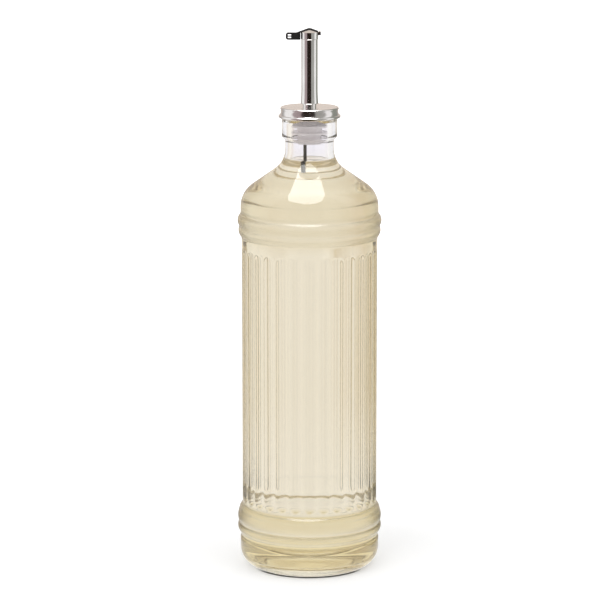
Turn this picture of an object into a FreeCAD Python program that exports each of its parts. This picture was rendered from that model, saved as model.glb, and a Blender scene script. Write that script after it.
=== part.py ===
import FreeCAD, Part
import math
import os

# Glass oil bottle with a fluted body, filled with oil, and a steel pourer:
# a cap disc, a pouring tube and a small hinged lid with a black lever.
# Units are millimetres.  +Z is the bottle's axis, and the origin is the
# centre of the base.  The lever points along -X and the hinge lies at +X.

Vec = FreeCAD.Vector

# Overall sizes of the glass
bottle_height = 241.0
body_r = 35.8
wall = 3.0

# Glass: base and heel
heel_r = 7.0
base_ring_w = 3.5
punt_height = 2.6
floor_z = 5.5
floor_rise = 2.3
inner_corner_r = 6.5

# Glass: flutes around the body
flute_count = 30
flute_depth = 0.75
flute_land = 0.85
flute_low_gap = 1.4
flute_high_gap = 1.2

# Glass: lower band, groove and double ring; each "out" is past body_r
foot_band_out = 1.2
foot_band_top = 15.4
groove_out = 0.8
groove_edge = 0.8
low_ring_z0 = 18.3
low_ring_height = 5.7
low_ring_upper_height = 6.3
low_notch_out = 1.8
low_ring_out = 2.5
low_skirt_out = 1.35
low_skirt_height = 4.9
low_skirt_bulge = 0.7

# Glass: upper band and double ring
high_band_out = 0.2
high_band_step = 1.5
high_band_height = 4.9
high_ring_height = 5.8
high_ring_upper_height = 6.4
high_notch_out = 1.2
high_ring_lower_out = 1.7
high_ring_upper_out = 2.2

# Glass: shoulder, neck and lip
shoulder_out = 0.6
shoulder_band = 3.8
shoulder_height = 30.5
shoulder_arc_r = 13.8
inner_shoulder_drop = 4.0
throat_arc_r = 13.0
neck_r = 12.85
neck_length = 16.1
neck_wall = 3.4
collar_out = 1.65
collar_height = 10.8
collar_under = 2.2
lip_edge_r = 1.0

# Oil
headspace = 21.5

# Stopper in the neck, and the vent pipe under it
stopper_length = 13.0
stopper_gap = 2.45
stopper_taper = 1.0
stopper_rib_count = 3
stopper_rib_pitch = 3.6
stopper_rib_thick = 0.9
stopper_rib_first = 3.2
hole_web = 0.32
pour_hole_r = 3.0
vent_r = 0.88
vent_bore_r = 0.45
vent_inset = 0.75
vent_grip = 6.0
vent_drop = 21.0

# Cap disc; each "out" is past the glass collar
cap_height = 6.0
cap_edge_out = 0.9
cap_edge_drop = 0.9
cap_waist_out = 0.8
cap_waist_z = 2.5
cap_bead_out = 1.85
cap_bead_z = 1.0
cap_bead_in_out = 1.1
cap_bead_top = 1.9
cap_bead_bottom = 0.25

# Pouring tube
bore_r = 3.1
stem_wall = 0.45
tube_wall = 1.23
spout_length = 38.75
foot_gap = 1.6
foot_out = 0.32
foot_length = 7.5
foot_edge = 0.35
head_out = 0.22
head_length = 3.4

# Lid
lid_out = 0.15
lid_rim = 0.3
lid_rise = 1.7
lid_sheet = 0.45
lid_seat = 1.2
lid_tip_r = 0.8

# Hinge
hinge_pin_r = 0.3
hinge_clearance = 0.05
knuckle_r = 0.6
knuckle_gap = 0.15
knuckle_half_w = 1.15
hinge_lift = 0.15
ear_side_gap = 0.15
ear_thick = 0.6
ear_web_h = 1.1
ear_top_gap = 0.05
ear_root = 0.5

# Lever
lever_clearance = 0.2
lever_length = 7.65
lever_lift = 0.1
lever_height = 3.75
lever_half_w = 0.8
lever_end_r = 1.3
slot_length = 1.9
slot_height = 0.85
slot_bar = 0.4
slot_inset = 1.0
strap_thick = 0.6
strap_half_w = 0.7
strap_ramp = 2.2
strap_root = 0.6
strap_round = 1.1
strap_end_gap = 0.25
strap_gap = 0.02

# Worked out from the values above: glass
inner_r = body_r - wall
shoulder_r = body_r + shoulder_out
foot_band_r = body_r + foot_band_out
base_contact_r = foot_band_r - heel_r
neck_bore_r = neck_r - neck_wall
collar_r = neck_r + collar_out
neck_z = bottle_height - neck_length
shoulder_z = neck_z - shoulder_height
collar_z = bottle_height - collar_height
oil_level = bottle_height - headspace
low_ring_z1 = low_ring_z0 + low_ring_height
low_ring_z2 = low_ring_z1 + low_ring_upper_height
low_skirt_top = low_ring_z2 + low_skirt_height
high_ring_z2 = shoulder_z - shoulder_band
high_ring_z1 = high_ring_z2 - high_ring_upper_height
high_ring_z0 = high_ring_z1 - high_ring_height
high_band_z = high_ring_z0 - high_band_height

# Flutes: the cutter's radius makes them flute_depth deep, with a land left
flute_pitch = 2 * math.pi * body_r / flute_count
flute_half = (flute_pitch - flute_land) / 2
flute_sag = flute_depth - flute_half ** 2 / (2 * body_r)
flute_cutter_r = (flute_half ** 2 + flute_sag ** 2) / (2 * flute_sag)
flute_z0 = low_skirt_top + flute_low_gap + flute_half
flute_z1 = high_band_z - flute_high_gap - flute_half

# Worked out: stopper, cap, tube, lid and lever
stopper_top_r = neck_bore_r - stopper_gap
stopper_z = bottle_height - stopper_length
vent_bottom = stopper_z - vent_drop
vent_x = vent_inset - bore_r
pour_hole_x = vent_x + vent_r + hole_web + pour_hole_r
cap_top = bottle_height + cap_height
stem_r = bore_r + stem_wall
tube_r = bore_r + tube_wall
foot_r = tube_r + foot_out
foot_z = cap_top + foot_gap
head_r = tube_r + head_out
spout_top = cap_top + spout_length
head_z = spout_top - head_length
lid_r = head_r + lid_out
lid_edge_z = spout_top + lid_rim
lid_slope = lid_rise / lid_r
hinge_x = head_r + knuckle_gap + knuckle_r
hinge_z = spout_top + hinge_lift
lever_root_x = -head_r - lever_clearance
lever_tip_x = lever_root_x - lever_length
lever_top_z = spout_top + lever_lift


def point(r, z):
    return Vec(r, 0, z)


def outline(start, steps):
    """Face of a closed outline in the XZ plane.

    A step is an end point, for a straight line, or a middle point and an
    end point, for a round arc.
    """
    edges = []
    here = start
    for step in steps:
        if isinstance(step[0], tuple):
            middle, end = step
            arc = Part.Arc(point(*here), point(*middle), point(*end))
            edges.append(arc.toShape())
        else:
            end = step
            edges.append(Part.makeLine(point(*here), point(*end)))
        here = end
    edges.append(Part.makeLine(point(*here), point(*start)))
    return Part.Face(Part.Wire(edges))


def lathe(start, steps):
    face = outline(start, steps)
    return face.revolve(Vec(0, 0, 0), Vec(0, 0, 1), 360)


def slab(start, steps, half_width):
    """Outline in the XZ plane, made into a plate centred on Y = 0."""
    face = outline(start, steps)
    face.translate(Vec(0, -half_width, 0))
    return face.extrude(Vec(0, 2 * half_width, 0))


def cylinder(r, z0, z1, x=0.0):
    return Part.makeCylinder(r, z1 - z0, Vec(x, 0, z0))


def cross_cylinder(r, x, z, y0, y1):
    return Part.makeCylinder(r, y1 - y0, Vec(x, y0, z), Vec(0, 1, 0))


def on_circle(centre, r, degrees):
    a = math.radians(degrees)
    return (centre[0] + r * math.cos(a), centre[1] + r * math.sin(a))


def dome_middle(r, edge_z, top_z):
    """Middle of a round arc from the axis at top_z down to r at edge_z."""
    rise = top_z - edge_z
    dome_r = (r ** 2 + rise ** 2) / (2 * rise)
    half = math.asin(r / dome_r) / 2
    return (dome_r * math.sin(half), top_z - dome_r + dome_r * math.cos(half))


def shoulder_steps(body, body_arc, neck, neck_arc):
    """Outline steps from the top of the body wall up to the neck.

    The shoulder bulges outwards with body_arc, the throat curves inwards
    with neck_arc, and the straight flank between them is tangent to both.
    """
    low = (body - body_arc, shoulder_z)
    high = (neck + neck_arc, neck_z)
    dx = high[0] - low[0]
    dz = high[1] - low[1]
    turn = math.degrees(math.acos((body_arc + neck_arc) / math.hypot(dx, dz)))
    angle = math.degrees(math.atan2(dz, dx)) - turn
    return [
        (body, shoulder_z),
        (on_circle(low, body_arc, angle / 2), on_circle(low, body_arc, angle)),
        on_circle(high, neck_arc, angle + 180),
        (on_circle(high, neck_arc, angle / 2 + 180), (neck, neck_z)),
    ]


def ring(z0, r_max, r1, z1):
    """Step for a rounded ring that rises from z0 to the point (r1, z1)."""
    return ((r_max, (z0 + z1) / 2), (r1, z1))


def base_steps():
    """Hollow under the base, the ring it stands on, and the heel."""
    punt_r = base_contact_r - base_ring_w
    heel_centre = (base_contact_r, heel_r)
    return [
        (dome_middle(punt_r, 0, punt_height), (punt_r, 0)),
        (base_contact_r, 0),
        (on_circle(heel_centre, heel_r, -45), (foot_band_r, heel_r)),
    ]


def low_band_steps():
    groove_r = body_r + groove_out
    notch_r = body_r + low_notch_out
    ring_r = body_r + low_ring_out
    skirt_bend_z = (low_ring_z2 + low_skirt_top) / 2 + low_skirt_bulge
    return [
        (foot_band_r, foot_band_top),
        (groove_r, foot_band_top + groove_edge),
        (groove_r, low_ring_z0),
        ring(low_ring_z0, ring_r, notch_r, low_ring_z1),
        ring(low_ring_z1, ring_r, notch_r, low_ring_z2),
        ((body_r + low_skirt_out, skirt_bend_z), (body_r, low_skirt_top)),
    ]


def high_band_steps():
    band_r = body_r + high_band_out
    notch_r = body_r + high_notch_out
    return [
        (body_r, high_band_z - high_band_step),
        (band_r, high_band_z),
        (band_r, high_ring_z0),
        ring(high_ring_z0, body_r + high_ring_lower_out, notch_r, high_ring_z1),
        ring(high_ring_z1, body_r + high_ring_upper_out, shoulder_r, high_ring_z2),
    ]


def lip_steps():
    collar_bend = (neck_r + 0.75 * collar_out, collar_z + 0.25 * collar_under)
    lip_centre = (collar_r - lip_edge_r, bottle_height - lip_edge_r)
    return [
        (neck_r, collar_z),
        (collar_bend, (collar_r, collar_z + collar_under)),
        (collar_r, bottle_height - lip_edge_r),
        (on_circle(lip_centre, lip_edge_r, 45), (collar_r - lip_edge_r, bottle_height)),
        (0, bottle_height),
    ]


def bottle_outside():
    steps = base_steps() + low_band_steps() + high_band_steps()
    steps += shoulder_steps(shoulder_r, shoulder_arc_r, neck_r, throat_arc_r)
    steps += lip_steps()
    return lathe((0, punt_height), steps)


def bottle_inside():
    """The hollow of the glass, from its floor to its mouth."""
    corner = (inner_r - inner_corner_r, floor_z + inner_corner_r)
    inner_arc = shoulder_arc_r - (shoulder_r - inner_r)
    floor_top = floor_z + floor_rise
    steps = [
        (dome_middle(corner[0], floor_z, floor_top), (corner[0], floor_z)),
        (on_circle(corner, inner_corner_r, -45), (inner_r, corner[1])),
        (inner_r, shoulder_z - inner_shoulder_drop),
    ]
    steps += shoulder_steps(inner_r, inner_arc, neck_bore_r, throat_arc_r + neck_wall)
    steps += [(neck_bore_r, bottle_height), (0, bottle_height)]
    return lathe((0, floor_top), steps)


def flute_cutter(angle):
    """A round-ended rod whose side scoops one flute out of the body."""
    r = flute_cutter_r
    rod = cylinder(r, flute_z0, flute_z1)
    ends = [Part.makeSphere(r, Vec(0, 0, z)) for z in (flute_z0, flute_z1)]
    rod = rod.fuse(ends).removeSplitter()
    rod.translate(Vec(body_r + r - flute_depth, 0, 0))
    rod.rotate(Vec(0, 0, 0), Vec(0, 0, 1), angle)
    return rod


def make_bottle():
    glass = bottle_outside().cut(bottle_inside())
    for i in range(flute_count):
        glass = glass.cut(flute_cutter((i + 0.5) * 360.0 / flute_count))
    return glass


def make_oil():
    """The hollow up to the oil's level, cut round the vent pipe."""
    filled = cylinder(foot_band_r, 0, oil_level)
    pipe_room = cylinder(vent_r, vent_bottom, bottle_height, vent_x)
    return bottle_inside().common(filled).cut(pipe_room)


def make_stopper():
    plug = lathe(
        (0, stopper_z),
        [
            (stopper_top_r - stopper_taper, stopper_z),
            (stopper_top_r, bottle_height),
            (0, bottle_height),
        ],
    )
    for i in range(stopper_rib_count):
        top = bottle_height - stopper_rib_first - i * stopper_rib_pitch
        plug = plug.fuse(cylinder(neck_bore_r, top - stopper_rib_thick, top))
    grip_top = stopper_z + vent_grip
    plug = plug.cut(cylinder(pour_hole_r, stopper_z, bottle_height, pour_hole_x))
    plug = plug.cut(cylinder(vent_r, stopper_z, grip_top, vent_x))
    return plug.cut(cylinder(vent_bore_r, grip_top, bottle_height, vent_x))


def make_vent_pipe():
    pipe = cylinder(vent_r, vent_bottom, stopper_z + vent_grip, vent_x)
    return pipe.cut(cylinder(vent_bore_r, vent_bottom, stopper_z + vent_grip, vent_x))


def make_cap():
    z = bottle_height
    edge_r = collar_r + cap_edge_out
    bead_in = collar_r + cap_bead_in_out
    edge_bend = (collar_r + 0.7 * cap_edge_out, cap_top - 0.3 * cap_edge_drop)
    return lathe(
        (stem_r, z),
        [
            (collar_r, z),
            (bead_in, z + cap_bead_bottom),
            ((collar_r + cap_bead_out, z + cap_bead_z), (bead_in, z + cap_bead_top)),
            ((collar_r + cap_waist_out, z + cap_waist_z), (edge_r, cap_top - cap_edge_drop)),
            (edge_bend, (collar_r, cap_top)),
            (stem_r, cap_top),
        ],
    )


def hinge_ear(side):
    """One of the two ears on the tube's head that hold the hinge pin."""
    y0 = knuckle_half_w + ear_side_gap
    if side < 0:
        y0 = -y0 - ear_thick
    web_z = spout_top - ear_top_gap - ear_web_h
    root_x = tube_r - ear_root
    back_x = hinge_x + knuckle_r
    eye = cross_cylinder(knuckle_r, hinge_x, hinge_z, y0, y0 + ear_thick)
    web = Part.makeBox(back_x - root_x, ear_thick, ear_web_h, Vec(root_x, y0, web_z))
    post = Part.makeBox(
        2 * knuckle_r, ear_thick, hinge_z - web_z, Vec(hinge_x - knuckle_r, y0, web_z)
    )
    hole = cross_cylinder(hinge_pin_r, hinge_x, hinge_z, y0, y0 + ear_thick)
    return eye.fuse([web, post]).cut(hole)


def make_spout():
    foot_bend = (tube_r + foot_out / 3, foot_z + foot_length / 2)
    tube = lathe(
        (bore_r, bottle_height),
        [
            (stem_r, bottle_height),
            (stem_r, foot_z),
            (foot_r - foot_edge / 2, foot_z),
            (foot_r, foot_z + foot_edge),
            (foot_bend, (tube_r, foot_z + foot_length)),
            (tube_r, head_z),
            (head_r, head_z + head_out),
            (head_r, spout_top),
            (bore_r, spout_top),
        ],
    )
    solid = tube.fuse([hinge_ear(1), hinge_ear(-1)])
    return solid.cut(cylinder(bore_r, bottle_height, spout_top))


def lid_shell():
    """Cone of sheet with a flat seat that rests on the tube's rim."""
    tip_z = lid_edge_z + lid_slope * (lid_r - lid_tip_r)
    tip_rise = lid_slope * lid_tip_r / 2
    top_z = tip_z + tip_rise
    return lathe(
        (0, top_z - lid_sheet),
        [
            (lid_r - lid_seat, spout_top),
            (lid_r, spout_top),
            (lid_r, lid_edge_z),
            (lid_tip_r, tip_z),
            (dome_middle(lid_tip_r, tip_z, top_z), (0, top_z)),
        ],
    )


def make_lid():
    width = 2 * knuckle_half_w
    tab_x = lid_r - lid_seat / 2
    tab = Part.makeBox(
        hinge_x - tab_x, width, hinge_lift + knuckle_r / 2, Vec(tab_x, -knuckle_half_w, spout_top)
    )
    knuckle = cross_cylinder(knuckle_r, hinge_x, hinge_z, -knuckle_half_w, knuckle_half_w)
    hole_r = hinge_pin_r + hinge_clearance
    hole = cross_cylinder(hole_r, hinge_x, hinge_z, -knuckle_half_w, knuckle_half_w)
    return lid_shell().fuse([tab, knuckle]).cut(hole)


def make_hinge_pin():
    end = knuckle_half_w + ear_side_gap + ear_thick
    return cross_cylinder(hinge_pin_r, hinge_x, hinge_z, -end, end)


def lever_slot(side):
    """One of the two slots through the lever's end, one above the other."""
    r = slot_height / 2
    z = lever_top_z - lever_height / 2 + side * (slot_bar + slot_height) / 2
    x0 = lever_tip_x + slot_inset + r
    x1 = lever_tip_x + slot_inset + slot_length - r
    half_w = lever_half_w
    ends = [cross_cylinder(r, x, z, -half_w, half_w) for x in (x0, x1)]
    middle = Part.makeBox(x1 - x0, 2 * half_w, slot_height, Vec(x0, -half_w, z - r))
    return middle.fuse(ends)


def lever_tab():
    r = lever_end_r
    x0 = lever_tip_x
    x1 = lever_root_x
    top = lever_top_z
    bottom = lever_top_z - lever_height
    tab = slab(
        (x1, bottom),
        [
            (x0 + r, bottom),
            (on_circle((x0 + r, bottom + r), r, 225), (x0, bottom + r)),
            (x0, top - r),
            (on_circle((x0 + r, top - r), r, 135), (x0 + r, top)),
            (x1, top),
        ],
        lever_half_w,
    )
    return tab.cut([lever_slot(1), lever_slot(-1)])


def lever_strap():
    """Thin strap from the lever up over the lid's cone to its far edge."""
    start_x = lever_root_x - strap_ramp
    root_z = lever_top_z - strap_root
    edge_x = -lid_r - strap_gap
    edge_top = lid_edge_z + strap_thick
    round_top = edge_top + lid_slope * (lid_r - strap_round)
    apex_top = round_top + lid_slope * strap_round / 2
    end_x = lid_r - strap_end_gap
    band = slab(
        (start_x, root_z),
        [
            (start_x, lever_top_z),
            (edge_x, edge_top),
            (-strap_round, round_top),
            ((0, apex_top), (strap_round, round_top)),
            (end_x, edge_top + lid_slope * strap_end_gap),
            (end_x, spout_top + strap_gap),
            (edge_x, spout_top + strap_gap),
            (edge_x, root_z),
        ],
        strap_half_w,
    )
    under_lid = cylinder(lid_r - lid_seat / 2, spout_top, lid_edge_z)
    under_cone = Part.makeCone(
        lid_r - lid_seat / 2, 0, lid_rise - lid_sheet, Vec(0, 0, lid_edge_z)
    )
    return band.cut([lid_shell(), under_lid, under_cone])


def make_lever():
    return lever_tab().fuse(lever_strap()).removeSplitter()


PARTS = {
    "bottle": make_bottle,
    "oil": make_oil,
    "stopper": make_stopper,
    "vent_pipe": make_vent_pipe,
    "cap": make_cap,
    "spout": make_spout,
    "lid": make_lid,
    "hinge_pin": make_hinge_pin,
    "lever": make_lever,
}


def main():
    os.makedirs("parts", exist_ok=True)
    for name, make in PARTS.items():
        shape = make()
        count = len(shape.Solids)
        if count == 1:
            shape = shape.Solids[0]
        print(name, "solids", count, "valid", shape.isValid(), "volume", round(shape.Volume, 2))
        shape.exportStep("parts/" + name + ".step")


main()
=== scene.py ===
import math

import bpy
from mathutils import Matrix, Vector


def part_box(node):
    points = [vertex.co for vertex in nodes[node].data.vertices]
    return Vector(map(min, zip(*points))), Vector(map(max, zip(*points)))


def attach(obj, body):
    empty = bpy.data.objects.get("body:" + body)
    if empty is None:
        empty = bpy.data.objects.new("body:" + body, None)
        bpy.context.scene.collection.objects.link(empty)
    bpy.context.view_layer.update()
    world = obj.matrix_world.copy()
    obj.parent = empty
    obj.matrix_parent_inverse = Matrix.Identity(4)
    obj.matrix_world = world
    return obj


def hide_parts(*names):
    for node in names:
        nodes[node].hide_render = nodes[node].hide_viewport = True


# Looks of a fluted glass oil bottle with a steel pourer.  Metres throughout.
# The glass and the oil are finer lathe meshes that stand for their CAD nodes.

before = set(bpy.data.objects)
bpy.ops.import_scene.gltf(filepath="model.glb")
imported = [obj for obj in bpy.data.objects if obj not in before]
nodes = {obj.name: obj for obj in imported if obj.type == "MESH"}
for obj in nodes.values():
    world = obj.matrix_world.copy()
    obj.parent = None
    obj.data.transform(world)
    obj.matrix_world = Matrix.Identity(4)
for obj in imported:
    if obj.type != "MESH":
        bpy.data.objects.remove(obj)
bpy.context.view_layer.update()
MM = 0.001

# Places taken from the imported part
_, bottle_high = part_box("bottle")
_, oil_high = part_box("oil")
_, stopper_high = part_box("stopper")
stopper_air = 0.15 * MM
mouth_z = bottle_high.z
oil_level = oil_high.z
bore_r = stopper_high.x + stopper_air
body_inner_r = oil_high.x

# Glass sizes, the same as the part's but for a rounder heel and a shorter skirt
body_r = 35.8 * MM
wall = body_r - body_inner_r
heel_r = 10.0 * MM
base_ring_w = 3.5 * MM
punt_height = 2.6 * MM
floor_z = 5.5 * MM
floor_rise = 2.3 * MM
inner_corner_r = 6.5 * MM
flute_count = 30
flute_depth = 0.75 * MM
flute_land = 0.85 * MM
flute_low_gap = 3.0 * MM
flute_high_gap = 1.2 * MM
foot_band_r = body_r + 1.2 * MM
foot_band_top = 15.4 * MM
groove_r = body_r + 0.8 * MM
groove_edge = 0.8 * MM
low_ring_z0 = 18.3 * MM
low_ring_z1 = low_ring_z0 + 5.7 * MM
low_ring_z2 = low_ring_z1 + 6.3 * MM
low_notch_r = body_r + 1.8 * MM
low_ring_r = body_r + 2.5 * MM
low_skirt_r = body_r + 1.15 * MM
low_skirt_top = low_ring_z2 + 3.3 * MM
low_skirt_bulge = 0.5 * MM
high_band_r = body_r + 0.2 * MM
high_notch_r = body_r + 1.2 * MM
high_ring_lower_r = body_r + 1.7 * MM
high_ring_upper_r = body_r + 2.2 * MM
shoulder_r = body_r + 0.6 * MM
shoulder_arc_r = 13.8 * MM
inner_shoulder_drop = 4.0 * MM
throat_arc_r = 13.0 * MM
neck_r = 12.85 * MM
neck_z = mouth_z - 16.1 * MM
shoulder_z = neck_z - 30.5 * MM
high_ring_z2 = shoulder_z - 3.8 * MM
high_ring_z1 = high_ring_z2 - 6.4 * MM
high_ring_z0 = high_ring_z1 - 5.8 * MM
high_band_z = high_ring_z0 - 4.9 * MM
collar_out = 1.65 * MM
collar_r = neck_r + collar_out
collar_z = mouth_z - 10.8 * MM
collar_under = 2.2 * MM
lip_edge_r = 1.0 * MM
base_contact_r = foot_band_r - heel_r

# Flute cutter, as in the part: a round-ended rod beside the body
flute_pitch = 2 * math.pi * body_r / flute_count
flute_half = (flute_pitch - flute_land) / 2
flute_sag = flute_depth - flute_half ** 2 / (2 * body_r)
flute_cutter_r = (flute_half ** 2 + flute_sag ** 2) / (2 * flute_sag)
flute_z0 = low_skirt_top + flute_low_gap + flute_half
flute_z1 = high_band_z - flute_high_gap - flute_half

# How far the oil reaches into the glass, and its meniscus
oil_reach = 0.12 * MM
meniscus_w = 1.0 * MM
meniscus_h = 0.2 * MM

# Glass tints at each pass, fitted: on the lands, in the flutes and by height
land_tint = (1.0, 0.995, 0.995)
scoop_tint = (0.945, 0.937, 0.935)
neck_tint = (0.972, 0.960, 0.995)
foot_tint = (0.95, 0.915, 0.79)
shoulder_tint = (0.972, 0.952, 0.905)
ring_roughness = 0.20
glass_ior = 1.5
glass_absorption = (0.80, 0.78, 0.76)
glass_density = 4

# Oil tints at each pass, in the body and at the level, where the colour fades out
oil_tints = ((0.900, 0.845, 0.697), (0.914, 0.861, 0.721))
oil_top_tint = (1.0, 0.995, 0.98)
oil_fade_from = oil_level - 9 * MM
oil_fade_to = oil_level - 1 * MM
oil_ior = 1.47
oil_absorption = (0.80, 0.66, 0.34)
oil_density = 1

# Roughness of the steel, and its colours from dark to light
tube_rough = (0.06, 0.15)
tube_tints = ((0.80, 0.785, 0.77), (0.88, 0.865, 0.85))
disc_rough = (0.12, 0.24)
disc_tints = ((0.76, 0.73, 0.72), (0.84, 0.815, 0.80))

# Colours of the plastics, from dark to light
lever_tints = ((0.012, 0.011, 0.011), (0.03, 0.028, 0.027))
pipe_tints = ((0.02, 0.018, 0.012), (0.05, 0.045, 0.03))
stopper_tints = ((0.95, 0.93, 0.94), (0.99, 0.97, 0.98))
stopper_through = 0.05

# Camera: angle, distance, lens and the height it looks at
camera_elevation = math.radians(11.14)
camera_distance = 1.6377
camera_lens = 180.58
camera_target = Vector((-0.0008, 0, 0.13958))


# ---------------------------------------------------------------- outlines

def on_circle(centre, r, degrees):
    a = math.radians(degrees)
    return (centre[0] + r * math.cos(a), centre[1] + r * math.sin(a))


def arc(centre, r, start, end, count):
    """Points of an arc after its first one."""
    turn = (end - start) / count
    return [on_circle(centre, r, start + turn * (i + 1)) for i in range(count)]


def line(start, end, count):
    """Points of a straight line after its first one."""
    dr = (end[0] - start[0]) / count
    dz = (end[1] - start[1]) / count
    return [(start[0] + dr * (i + 1), start[1] + dz * (i + 1)) for i in range(count)]


def bow(start, middle, end, count):
    """Points of the arc through three points, after its first one."""
    (x1, y1), (x2, y2), (x3, y3) = start, middle, end
    d = 2 * (x1 * (y2 - y3) + x2 * (y3 - y1) + x3 * (y1 - y2))
    s1, s2, s3 = x1 * x1 + y1 * y1, x2 * x2 + y2 * y2, x3 * x3 + y3 * y3
    cx = (s1 * (y2 - y3) + s2 * (y3 - y1) + s3 * (y1 - y2)) / d
    cy = (s1 * (x3 - x2) + s2 * (x1 - x3) + s3 * (x2 - x1)) / d
    r = math.hypot(x1 - cx, y1 - cy)
    a = math.degrees(math.atan2(y1 - cy, x1 - cx))
    m = math.degrees(math.atan2(y2 - cy, x2 - cx))
    b = math.degrees(math.atan2(y3 - cy, x3 - cx))
    first = (m - a + 180) % 360 - 180
    last = (b - m + 180) % 360 - 180
    return arc((cx, cy), r, a, a + first + last, count)


def dome(edge_r, edge_z, top_z, count):
    """Points from just off the axis out to a shallow dome's edge."""
    rise = top_z - edge_z
    dome_r = (edge_r ** 2 + rise ** 2) / (2 * rise)
    full = math.asin(edge_r / dome_r)
    points = []
    for i in range(1, count + 1):
        a = full * i / count
        points.append((dome_r * math.sin(a), top_z - dome_r + dome_r * math.cos(a)))
    return points


def shoulder(body, body_arc, neck, neck_arc, count):
    """Points from the top of the body wall up to the neck."""
    low = (body - body_arc, shoulder_z)
    high = (neck + neck_arc, neck_z)
    dx, dz = high[0] - low[0], high[1] - low[1]
    turn = math.degrees(math.acos((body_arc + neck_arc) / math.hypot(dx, dz)))
    angle = math.degrees(math.atan2(dz, dx)) - turn
    points = arc(low, body_arc, 0, angle, count)
    points += line(points[-1], on_circle(high, neck_arc, angle + 180), 6)
    points += arc(high, neck_arc, angle + 180, 180, count)
    return points


def ring(start, r_max, r1, z1, count=14):
    """Points of a rounded ring from start up to (r1, z1)."""
    middle = (r_max, (start[1] + z1) / 2)
    return bow(start, middle, (r1, z1), count)


def glass_outside():
    punt_r = base_contact_r - base_ring_w
    points = dome(punt_r, 0, punt_height, 10)
    points += line((punt_r, 0), (base_contact_r, 0), 3)
    points += arc((base_contact_r, heel_r), heel_r, -90, 0, 14)
    points += line(points[-1], (foot_band_r, foot_band_top), 3)
    points += line(points[-1], (groove_r, foot_band_top + groove_edge), 2)
    points += line(points[-1], (groove_r, low_ring_z0), 2)
    points += ring(points[-1], low_ring_r, low_notch_r, low_ring_z1)
    points += ring(points[-1], low_ring_r, low_notch_r, low_ring_z2)
    bend_z = (low_ring_z2 + low_skirt_top) / 2 + low_skirt_bulge
    points += bow(points[-1], (low_skirt_r, bend_z), (body_r, low_skirt_top), 10)
    end = math.sqrt(flute_cutter_r ** 2 - (flute_cutter_r - flute_depth) ** 2)
    points += line(points[-1], (body_r, flute_z0 - end), 2)
    points += line(points[-1], (body_r, flute_z0), 18)
    points += line(points[-1], (body_r, flute_z1), 10)
    points += line(points[-1], (body_r, flute_z1 + end), 18)
    points += line(points[-1], (high_band_r, high_ring_z0), 6)
    points += ring(points[-1], high_ring_lower_r, high_notch_r, high_ring_z1)
    points += ring(points[-1], high_ring_upper_r, shoulder_r, high_ring_z2)
    points += line(points[-1], (shoulder_r, shoulder_z), 2)
    points += shoulder(shoulder_r, shoulder_arc_r, neck_r, throat_arc_r, 24)
    points += line(points[-1], (neck_r, collar_z), 3)
    bend = (neck_r + 0.75 * collar_out, collar_z + 0.25 * collar_under)
    points += bow(points[-1], bend, (collar_r, collar_z + collar_under), 10)
    points += line(points[-1], (collar_r, mouth_z - lip_edge_r), 4)
    points += arc((collar_r - lip_edge_r, mouth_z - lip_edge_r), lip_edge_r, 0, 90, 6)
    points += line(points[-1], (bore_r, mouth_z), 3)
    return points


def glass_inside(grow=0.0):
    """The hollow from its floor's edge to its mouth; grow moves it into the wall."""
    corner = (body_inner_r - inner_corner_r, floor_z + inner_corner_r)
    inner_arc = shoulder_arc_r - (shoulder_r - body_inner_r) + grow
    throat_arc = throat_arc_r + (neck_r - bore_r) - grow
    drop_z = shoulder_z - inner_shoulder_drop
    points = dome(corner[0], floor_z - grow, floor_z + floor_rise - grow, 10)
    points += arc(corner, inner_corner_r + grow, -90, 0, 14)
    points += line(points[-1], (body_inner_r + grow, drop_z), 8)
    # the inner shoulder starts lower than the outer one
    points += line(points[-1], (body_inner_r + grow, shoulder_z), 3)
    points += shoulder(body_inner_r + grow, inner_arc, bore_r + grow, throat_arc, 24)
    return points


# ---------------------------------------------------------------- meshes

def flute_columns():
    """Angles round the body: close together at each flute's edges."""
    edge = (flute_pitch / 2 - flute_land / 2) / body_r
    half = math.pi / flute_count
    steps = [-half, -edge]
    steps += [edge * k / 4 for k in (-3, -2, -1, 0, 1, 2, 3)]
    steps.append(edge)
    angles = []
    for i in range(flute_count):
        centre = (i + 0.5) * 2 * math.pi / flute_count
        angles += [centre + s for s in steps]
    return angles


def even_columns(count):
    return [2 * math.pi * i / count for i in range(count)]


def fluted(r, z, angle):
    """Radius of the outer wall at this angle, with its flutes scooped out."""
    over = max(flute_z0 - z, z - flute_z1, 0)
    if over >= flute_cutter_r:
        return r
    rho2 = flute_cutter_r ** 2 - over ** 2
    away = body_r + flute_cutter_r - flute_depth
    pitch = 2 * math.pi / flute_count
    off = (angle / pitch) % 1.0 - 0.5
    side = away * math.sin(off * pitch)
    if side * side >= rho2:
        return r
    return min(r, away * math.cos(off * pitch) - math.sqrt(rho2 - side * side))


def outside_fluted(r, z, angle):
    """The same for the wall's outside only; the inside stays round."""
    return fluted(r, z, angle) if r > body_inner_r + wall / 2 else r


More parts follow.
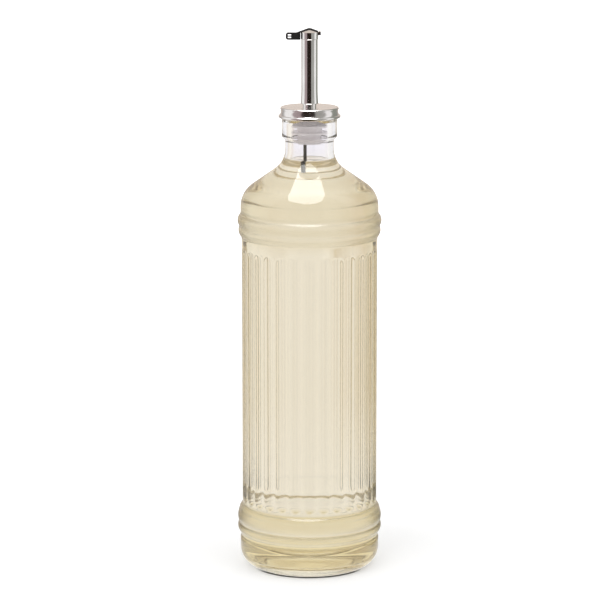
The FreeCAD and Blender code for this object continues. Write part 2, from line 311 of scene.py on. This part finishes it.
class Builder:
    """Collects rings of points and the faces between them."""

    def __init__(self):
        self.verts = []
        self.faces = []

    def ring(self, points):
        first = len(self.verts)
        self.verts += points
        return range(first, first + len(points))

    def join(self, a, b):
        n = len(a)
        for i in range(n):
            j = (i + 1) % n
            self.faces.append((a[i], a[j], b[j], b[i]))

    def cap(self, a, point, down):
        self.verts.append(point)
        tip = len(self.verts) - 1
        n = len(a)
        for i in range(n):
            j = (i + 1) % n
            self.faces.append((a[j], a[i], tip) if down else (a[i], a[j], tip))

    def finish(self, name, smooth=True):
        mesh = bpy.data.meshes.new(name)
        mesh.from_pydata(self.verts, [], self.faces)
        mesh.validate()
        mesh.polygons.foreach_set("use_smooth", [smooth] * len(mesh.polygons))
        piece = bpy.data.objects.new(name, mesh)
        bpy.context.scene.collection.objects.link(piece)
        return piece


def circle_points(r, z, angles, shape=None, x=0.0):
    points = []
    for a in angles:
        here = shape(r, z, a) if shape else r
        points.append((x + here * math.cos(a), here * math.sin(a), z))
    return points


def lathe_rows(builder, outline, angles, shape=None):
    rows = [builder.ring(circle_points(r, z, angles, shape)) for r, z in outline]
    for a, b in zip(rows, rows[1:]):
        builder.join(a, b)
    return rows


def make_glass():
    """One closed shell: outside from the base up, over the mouth, down inside."""
    builder = Builder()
    angles = flute_columns()
    outline = glass_outside()
    down = glass_inside()
    down.reverse()
    down[0:0] = line((bore_r, mouth_z), (bore_r, neck_z), 5)[:-1]
    rows = lathe_rows(builder, outline + down, angles, outside_fluted)
    builder.cap(rows[0], (0, 0, punt_height), True)
    builder.cap(rows[-1], (0, 0, floor_z + floor_rise), False)
    return builder.finish("glass")


def make_oil():
    """Fills the hollow to its level, reaching just into the wall."""
    builder = Builder()
    angles = even_columns(240)
    outline = [p for p in glass_inside(oil_reach) if p[1] < oil_level]
    edge_r = outline[-1][0]
    top = []
    for i in range(9):
        t = i / 8
        lift = meniscus_h * (1 - t) ** 2
        top.append((edge_r - meniscus_w * t, oil_level - meniscus_h + lift))
    outline = [p for p in outline if p[1] < oil_level - 0.2 * MM] + top
    outline += line(top[-1], (2 * MM, oil_level - meniscus_h), 5)
    rows = lathe_rows(builder, outline, angles)
    builder.cap(rows[0], (0, 0, floor_z + floor_rise - oil_reach), True)
    builder.cap(rows[-1], (0, 0, oil_level - meniscus_h), False)
    return builder.finish("oil_fill")


# ---------------------------------------------------------------- materials

def new_material(name):
    material = bpy.data.materials.new(name)
    material.use_nodes = True
    tree = material.node_tree
    tree.nodes.clear()
    return material, tree


def node(tree, kind, **inputs):
    made = tree.nodes.new(kind)
    for key, value in inputs.items():
        made.inputs[key.replace("_", " ")].default_value = value
    return made


def noise(tree, scale, detail=3.0, rough=0.5, stretch=(1, 1, 1)):
    """Noise in the object's own coordinates; stretch scales each axis."""
    place = tree.nodes.new("ShaderNodeTexCoord")
    mapping = tree.nodes.new("ShaderNodeMapping")
    mapping.inputs["Scale"].default_value = stretch
    made = node(tree, "ShaderNodeTexNoise", Scale=scale, Detail=detail, Roughness=rough)
    tree.links.new(place.outputs["Object"], mapping.inputs["Vector"])
    tree.links.new(mapping.outputs["Vector"], made.inputs["Vector"])
    return made.outputs["Fac"]


def ramp(tree, source, low, high, low_at=0.3, high_at=0.7):
    """Maps a 0-1 value onto low to high, with numbers or colours."""
    if isinstance(low, tuple):
        made = tree.nodes.new("ShaderNodeValToRGB")
        made.color_ramp.elements[0].position = low_at
        made.color_ramp.elements[0].color = (*low, 1)
        made.color_ramp.elements[1].position = high_at
        made.color_ramp.elements[1].color = (*high, 1)
        tree.links.new(source, made.inputs["Fac"])
        return made.outputs["Color"]
    made = tree.nodes.new("ShaderNodeMapRange")
    made.inputs["From Min"].default_value = low_at
    made.inputs["From Max"].default_value = high_at
    made.inputs["To Min"].default_value = low
    made.inputs["To Max"].default_value = high
    tree.links.new(source, made.inputs["Value"])
    return made.outputs["Result"]


def maths(tree, operation, a, b):
    """A math node of two values, each a socket or a number."""
    made = tree.nodes.new("ShaderNodeMath")
    made.operation = operation
    for source, socket in zip((a, b), made.inputs):
        if isinstance(source, (int, float)):
            socket.default_value = source
        else:
            tree.links.new(source, socket)
    return made.outputs["Value"]


def towards(tree, share, colour, end):
    """The colour, turned to the end colour by a share from 0 to 1."""
    made = tree.nodes.new("ShaderNodeMix")
    made.data_type = "RGBA"
    made.inputs[7].default_value = (*end, 1)
    tree.links.new(share, made.inputs[0])
    tree.links.new(colour, made.inputs[6])
    return made.outputs[2]


def bump(tree, height, strength, distance, shader):
    made = node(tree, "ShaderNodeBump", Strength=strength, Distance=distance)
    tree.links.new(height, made.inputs["Height"])
    tree.links.new(made.outputs["Normal"], shader.inputs["Normal"])


def surface(tree):
    shader = tree.nodes.new("ShaderNodeBsdfPrincipled")
    out = tree.nodes.new("ShaderNodeOutputMaterial")
    tree.links.new(shader.outputs["BSDF"], out.inputs["Surface"])
    return shader, out


def absorbing(tree, out, colour, density):
    volume = tree.nodes.new("ShaderNodeVolumeAbsorption")
    volume.inputs["Color"].default_value = (*colour, 1)
    volume.inputs["Density"].default_value = density
    tree.links.new(volume.outputs["Volume"], out.inputs["Volume"])


def own_place(tree):
    """Sockets for distance from the bottle's axis and height above its base."""
    place = tree.nodes.new("ShaderNodeTexCoord").outputs["Object"]
    parts = tree.nodes.new("ShaderNodeSeparateXYZ")
    tree.links.new(place, parts.inputs["Vector"])
    squares = [maths(tree, "POWER", parts.outputs[axis], 2) for axis in "XY"]
    away = maths(tree, "SQRT", maths(tree, "ADD", *squares), 0)
    return away, parts.outputs["Z"]


def band(tree, value, low, high, soft):
    """1 between low and high, and 0 a soft distance outside them."""
    rise = ramp(tree, value, 0.0, 1.0, low - soft, low)
    fall = ramp(tree, value, 1.0, 0.0, high, high + soft)
    return maths(tree, "MULTIPLY", rise, fall)


def glass_material():
    """Clear glass: tinted in the flutes and by height, a little dull on the rings."""
    material, tree = new_material("clear_glass")
    shader, out = surface(tree)
    away, height = own_place(tree)
    scoop = ramp(tree, away, 1.0, 0.0, body_r - 0.8 * flute_depth, body_r - 0.1 * flute_depth)
    skin = ramp(tree, away, 0.0, 1.0, body_r - 1.6 * flute_depth, body_r - 1.4 * flute_depth)
    scooped = maths(tree, "MULTIPLY", scoop, skin)
    tint = ramp(tree, scooped, land_tint, scoop_tint, 0.0, 1.0)
    upper = band(tree, height, high_ring_z0, shoulder_z + 14 * MM, 5 * MM)
    tint = towards(tree, upper, tint, shoulder_tint)
    above = ramp(tree, height, 0.0, 1.0, oil_level - 6 * MM, oil_level + 6 * MM)
    tint = towards(tree, above, tint, neck_tint)
    foot = band(tree, height, 2 * MM, 19 * MM, 4 * MM)
    tree.links.new(towards(tree, foot, tint, foot_tint), shader.inputs["Base Color"])
    shader.inputs["Transmission Weight"].default_value = 1.0
    shader.inputs["IOR"].default_value = glass_ior
    smears = ramp(tree, noise(tree, 38, 4, 0.6), 0.0, 0.03, 0.45, 0.75)
    low_rings = band(tree, height, low_ring_z0, low_skirt_top + 1 * MM, 1 * MM)
    high_rings = band(tree, height, high_ring_z0, high_ring_z2 + 1.5 * MM, 1 * MM)
    rings = maths(tree, "MULTIPLY", maths(tree, "ADD", low_rings, high_rings), ring_roughness)
    dull = maths(tree, "ADD", smears, rings)
    tree.links.new(dull, shader.inputs["Roughness"])
    bump(tree, noise(tree, 60, 2, 0.5, (1, 1, 0.45)), 0.12, 0.4 * MM, shader)
    absorbing(tree, out, glass_absorption, glass_density)
    return material


def oil_material():
    """Pale oil, a little uneven, whose colour fades out at its level."""
    material, tree = new_material("oil")
    shader, out = surface(tree)
    drift = noise(tree, 14, 2, 0.5)
    tint = ramp(tree, drift, *oil_tints)
    _, height = own_place(tree)
    top = ramp(tree, height, 0.0, 1.0, oil_fade_from, oil_fade_to)
    tree.links.new(towards(tree, top, tint, oil_top_tint), shader.inputs["Base Color"])
    shader.inputs["Transmission Weight"].default_value = 1.0
    shader.inputs["IOR"].default_value = oil_ior
    haze = noise(tree, 25, 3, 0.5)
    tree.links.new(ramp(tree, haze, 0.0, 0.01, 0.4, 0.8), shader.inputs["Roughness"])
    absorbing(tree, out, oil_absorption, oil_density)
    return material


def steel_material(name, stretch, low_rough, high_rough, dark, light):
    """Steel with fine lines, drawn out by stretch."""
    material, tree = new_material(name)
    shader, out = surface(tree)
    shader.inputs["Metallic"].default_value = 1.0
    wide = noise(tree, 120, 3, 0.5)
    tint = ramp(tree, wide, dark, light)
    tree.links.new(tint, shader.inputs["Base Color"])
    lines = noise(tree, 900, 4, 0.7, stretch)
    rough = ramp(tree, lines, low_rough, high_rough)
    tree.links.new(rough, shader.inputs["Roughness"])
    bump(tree, lines, 0.05, 0.05 * MM, shader)
    return material


def plastic_material(name, dark, light, rough, scale, through=0.0):
    """Grained plastic; through is the share of light that passes it."""
    material, tree = new_material(name)
    shader, out = surface(tree)
    grain = noise(tree, scale, 4, 0.6)
    tree.links.new(ramp(tree, grain, dark, light), shader.inputs["Base Color"])
    patches = noise(tree, scale / 6, 2, 0.5)
    tree.links.new(ramp(tree, patches, rough, rough + 0.15), shader.inputs["Roughness"])
    bump(tree, grain, 0.15, 0.05 * MM, shader)
    shader.inputs["Transmission Weight"].default_value = through
    return material


def dress(piece, material):
    piece.data.materials.clear()
    piece.data.materials.append(material)


# ---------------------------------------------------------------- the object

glass = make_glass()
dress(glass, glass_material())
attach(glass, "bottle")
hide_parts("bottle")
glass.visible_shadow = False  # so light reaches the stopper; only the oil and the pourer throw one

oil_fill = make_oil()
dress(oil_fill, oil_material())
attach(oil_fill, "bottle")
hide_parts("oil")

round_steel = steel_material("brushed_steel", (1, 1, 0.05), *tube_rough, *tube_tints)
disc_steel = steel_material("satin_steel", (1, 1, 1), *disc_rough, *disc_tints)
for name in ("spout", "lid", "hinge_pin"):
    dress(nodes[name], round_steel)
dress(nodes["cap"], disc_steel)

dress(nodes["lever"], plastic_material("black_plastic", *lever_tints, 0.28, 2500))
dress(nodes["vent_pipe"], plastic_material("dark_pipe", *pipe_tints, 0.35, 1800))
stopper_look = plastic_material("stopper_plastic", *stopper_tints, 0.3, 1200, stopper_through)
dress(nodes["stopper"], stopper_look)


# ---------------------------------------------------------------- the set

def stage_panel(name, corners):
    """A flat panel with these corners; part of the set."""
    mesh = bpy.data.meshes.new(name)
    mesh.from_pydata(corners, [], [tuple(range(len(corners)))])
    piece = bpy.data.objects.new(name, mesh)
    bpy.context.scene.collection.objects.link(piece)
    return piece


# Corners of the panel overhead: bearing and elevation in degrees, from the shoulder
soft_top_rise = 1.10
soft_top_glow = 6.5
soft_top_corners = ((-12, 46), (-51, 53), (-137, 68), (-160, 62), (160, 62), (150, 68), (31, 57), (6, 46))


def overhead(bearing, elevation):
    """The point of a level panel over the shoulder that lies in this direction."""
    away = soft_top_rise / math.tan(math.radians(elevation))
    turn = math.radians(bearing)
    return (away * math.sin(turn), -away * math.cos(turn), shoulder_z + soft_top_rise)


def glow_material(name, colour, strength):
    material, tree = new_material(name)
    glow = tree.nodes.new("ShaderNodeEmission")
    glow.inputs["Color"].default_value = (*colour, 1)
    glow.inputs["Strength"].default_value = strength
    out = tree.nodes.new("ShaderNodeOutputMaterial")
    tree.links.new(glow.outputs["Emission"], out.inputs["Surface"])
    return material


def reflected_only(piece):
    """Shows the panel in glossy reflections and nowhere else."""
    piece.visible_camera = False
    piece.visible_diffuse = False
    piece.visible_transmission = False
    piece.visible_volume_scatter = False
    piece.visible_shadow = False


def mixed(tree, share, first, second):
    made = tree.nodes.new("ShaderNodeMixShader")
    for source, socket in zip((share, first, second), made.inputs):
        tree.links.new(source, socket)
    return made.outputs["Shader"]


# Painted reflections: looks of a room by bearing round the bottle, 0 is the front, 90 the right, 180 the
# back.
# The eye sees white, but metal and the glass's surface show mirrored_room, a painted reflection, and what
# the glass lets through is through_room, a painted backdrop seen only through the glass.
mirrored_room = (
    (-180, (0.78, 0.69, 0.62)),
    (-155, (0.66, 0.59, 0.54)),
    (-130, (0.38, 0.37, 0.36)),
    (-114, (1.0, 1.0, 1.0)),
    (-75, (1.0, 1.0, 1.0)),
    (-70, (0.43, 0.35, 0.36)),
    (-36, (0.40, 0.32, 0.33)),
    (-31, (0.018, 0.010, 0.007)),
    (21, (0.018, 0.010, 0.007)),
    (25, (0.38, 0.38, 0.36)),
    (66, (0.42, 0.42, 0.40)),
    (72, (1.0, 1.0, 1.0)),
    (99, (1.0, 1.0, 1.0)),
    (104, (0.28, 0.30, 0.26)),
    (140, (0.30, 0.31, 0.28)),
    (158, (0.66, 0.59, 0.54)),
    (180, (0.78, 0.69, 0.62)),
)
through_room = (
    (-180, (1.0, 1.0, 1.0)),
    (-168, (0.99, 0.985, 0.98)),
    (-158, (0.92, 0.89, 0.84)),
    (-151, (0.82, 0.745, 0.63)),
    (-142, (0.88, 0.82, 0.71)),
    (-130, (0.98, 0.94, 0.83)),
    (-100, (0.96, 0.91, 0.79)),
    (-80, (0.93, 0.87, 0.75)),
    (-45, (0.88, 0.83, 0.73)),
    (45, (0.90, 0.86, 0.77)),
    (80, (0.98, 0.97, 0.90)),
    (105, (1.0, 1.0, 0.95)),
    (133, (0.98, 0.97, 0.92)),
    (156, (0.96, 0.95, 0.92)),
    (168, (1.0, 1.0, 1.0)),
    (180, (1.0, 1.0, 1.0)),
)


def room(tree, direction, looks):
    """Colour of the room in a direction, from its bearing."""
    parts = tree.nodes.new("ShaderNodeSeparateXYZ")
    tree.links.new(direction, parts.inputs["Vector"])
    ahead = maths(tree, "MULTIPLY", parts.outputs["Y"], -1)
    bearing = maths(tree, "ARCTAN2", parts.outputs["X"], ahead)
    made = tree.nodes.new("ShaderNodeValToRGB")
    tree.links.new(ramp(tree, bearing, 0, 1, -math.pi, math.pi), made.inputs["Fac"])
    stops = made.color_ramp.elements
    while len(stops) < len(looks):
        stops.new(0.5)
    for stop, (degrees, colour) in zip(stops, looks):
        stop.position = degrees / 360 + 0.5
        stop.color = (*colour, 1)
    return made.outputs["Color"]


def glow(tree, colour):
    made = tree.nodes.new("ShaderNodeEmission")
    tree.links.new(colour, made.inputs["Color"])
    return made.outputs["Emission"]


# The floor by distance from the bottle's axis, each as where a change begins and ends
floor_colour = (0.92, 0.92, 0.92)
glow_near, glow_far = 0.28, 0.9
glow_span = (0.08, 0.9)
mirror_white_span = (0.05, 0.12)
through_white_span = (0.10, 0.40)
# painted light: an oil-coloured tinge on the floor near the bottle, seen only through the glass
painted_oil_light_span = (0.04, 0.09)
painted_oil_light_colour = (0.93, 0.88, 0.72)
# painted contact shadow: a dark line on the floor just before the base, in front only
contact_shadow_colour = (0.06, 0.06, 0.055)
contact_shadow_span = (base_contact_r + 3.2 * MM, base_contact_r + 5 * MM)
contact_shadow_front = (-0.7 * base_contact_r, -0.4 * base_contact_r)


def floor_material():
    """Pale floor with a glow of its own and a painted contact shadow, a dark line before the base.

    Reflections and the view through the glass show the painted room on it, and near the bottle a painted
    tinge of the light through the oil.
    """
    material, tree = new_material("floor_white")
    lit = tree.nodes.new("ShaderNodeBsdfDiffuse")
    own = tree.nodes.new("ShaderNodeEmission")
    add = tree.nodes.new("ShaderNodeAddShader")
    tree.links.new(lit.outputs["BSDF"], add.inputs[0])
    tree.links.new(own.outputs["Emission"], add.inputs[1])
    place = tree.nodes.new("ShaderNodeNewGeometry").outputs["Position"]
    length = tree.nodes.new("ShaderNodeVectorMath")
    length.operation = "LENGTH"
    tree.links.new(place, length.inputs[0])
    away = length.outputs["Value"]
    # the glow lightens the shadow and keeps the floor white far from the lamps
    tree.links.new(ramp(tree, away, glow_near, glow_far, *glow_span), own.inputs["Strength"])
    near = ramp(tree, away, 1.0, 0.0, *mirror_white_span)
    close = ramp(tree, away, 1.0, 0.0, *through_white_span)
    # the painted contact shadow is in front only
    contact = ramp(tree, away, 0.0, 1.0, *contact_shadow_span)
    parts = tree.nodes.new("ShaderNodeSeparateXYZ")
    tree.links.new(place, parts.inputs["Vector"])
    ahead = ramp(tree, parts.outputs["Y"], 1.0, 0.0, *contact_shadow_front)
    dark = maths(tree, "MULTIPLY", maths(tree, "SUBTRACT", 1.0, contact), ahead)
    shade = ramp(tree, dark, floor_colour, contact_shadow_colour, 0.0, 1.0)
    tree.links.new(shade, lit.inputs["Color"])
    tree.links.new(shade, own.inputs["Color"])
    # painted oil-coloured light near the bottle, shown only through the glass
    painted_oil_light = ramp(tree, away, 1.0, 0.0, *painted_oil_light_span)
    mirrored = glow(tree, towards(tree, near, room(tree, place, mirrored_room), (1, 1, 1)))
    around = towards(tree, close, room(tree, place, through_room), (1, 1, 1))
    through = glow(tree, towards(tree, painted_oil_light, around, painted_oil_light_colour))
    path = tree.nodes.new("ShaderNodeLightPath")
    shown = mixed(tree, path.outputs["Is Diffuse Ray"], add.outputs["Shader"], lit.outputs["BSDF"])
    shown = mixed(tree, path.outputs["Is Glossy Ray"], shown, mirrored)
    shown = mixed(tree, path.outputs["Is Transmission Ray"], shown, through)
    out = tree.nodes.new("ShaderNodeOutputMaterial")
    tree.links.new(shown, out.inputs["Surface"])
    return material


floor_half = 6
floor_sides = ((-1, -1), (1, -1), (1, 1), (-1, 1))
floor = stage_panel("floor", [(x * floor_half, y * floor_half, 0) for x, y in floor_sides])
dress(floor, floor_material())

soft_top = stage_panel("soft_top", [overhead(*corner) for corner in soft_top_corners])
dress(soft_top, glow_material("soft_top_glow", (1, 1, 1), soft_top_glow))
reflected_only(soft_top)


def lamp(name, centre, width, height, power):
    """A soft lamp that points at the bottle's middle."""
    light = bpy.data.lights.new(name, "AREA")
    light.shape = "RECTANGLE"
    light.size = width
    light.size_y = height
    light.energy = power
    piece = bpy.data.objects.new(name, light)
    bpy.context.scene.collection.objects.link(piece)
    piece.location = centre
    piece.rotation_mode = "QUATERNION"
    piece.rotation_quaternion = (lamp_target - Vector(centre)).to_track_quat("-Z", "Y")
    piece.visible_glossy = False
    piece.visible_transmission = False


lamp_target = Vector((0, 0, 0.12))
lamp("key", (-0.5, -0.6, 1.8), 0.9, 0.9, 7.6)
lamp("fill", (0.55, -0.35, 1.7), 0.9, 0.9, 4.2)
lamp("back", (0.0, 1.2, 1.4), 1.2, 0.6, 2.4)


def background(tree, strength, colour=None):
    made = node(tree, "ShaderNodeBackground", Strength=strength)
    made.inputs["Color"].default_value = (1, 1, 1, 1)
    if colour:
        tree.links.new(colour, made.inputs["Color"])
    return made.outputs["Background"]


world_light = 0.6


def light_world():
    """White to the eye, a painted room in reflections and through glass, softer as light."""
    world = bpy.data.worlds.new("studio")
    bpy.context.scene.world = world
    world.use_nodes = True
    tree = world.node_tree
    tree.nodes.clear()
    direction = tree.nodes.new("ShaderNodeTexCoord").outputs["Generated"]
    path = tree.nodes.new("ShaderNodeLightPath")
    shown = mixed(tree, path.outputs["Is Diffuse Ray"], background(tree, 1.0), background(tree, world_light))
    mirrored = background(tree, 1.0, room(tree, direction, mirrored_room))
    through = background(tree, 1.0, room(tree, direction, through_room))
    shown = mixed(tree, path.outputs["Is Glossy Ray"], shown, mirrored)
    shown = mixed(tree, path.outputs["Is Transmission Ray"], shown, through)
    out = tree.nodes.new("ShaderNodeOutputWorld")
    tree.links.new(shown, out.inputs["Surface"])


light_world()

camera = bpy.data.objects.new("camera", bpy.data.cameras.new("camera"))
bpy.context.scene.collection.objects.link(camera)
camera.data.sensor_width = 36
camera.data.lens = camera_lens
camera.data.clip_start = 0.05
camera.data.clip_end = 50
back = Vector((0, -math.cos(camera_elevation), math.sin(camera_elevation)))
camera.location = camera_target + back * camera_distance
camera.rotation_mode = "QUATERNION"
camera.rotation_quaternion = (-back).to_track_quat("-Z", "Y")
bpy.context.scene.camera = camera
bpy.context.scene.view_settings.view_transform = "Standard"

# More bounces than by default, because the glass has black lines without them
paths = bpy.context.scene.cycles
paths.max_bounces = 24
paths.glossy_bounces = 16
paths.transmission_bounces = 24
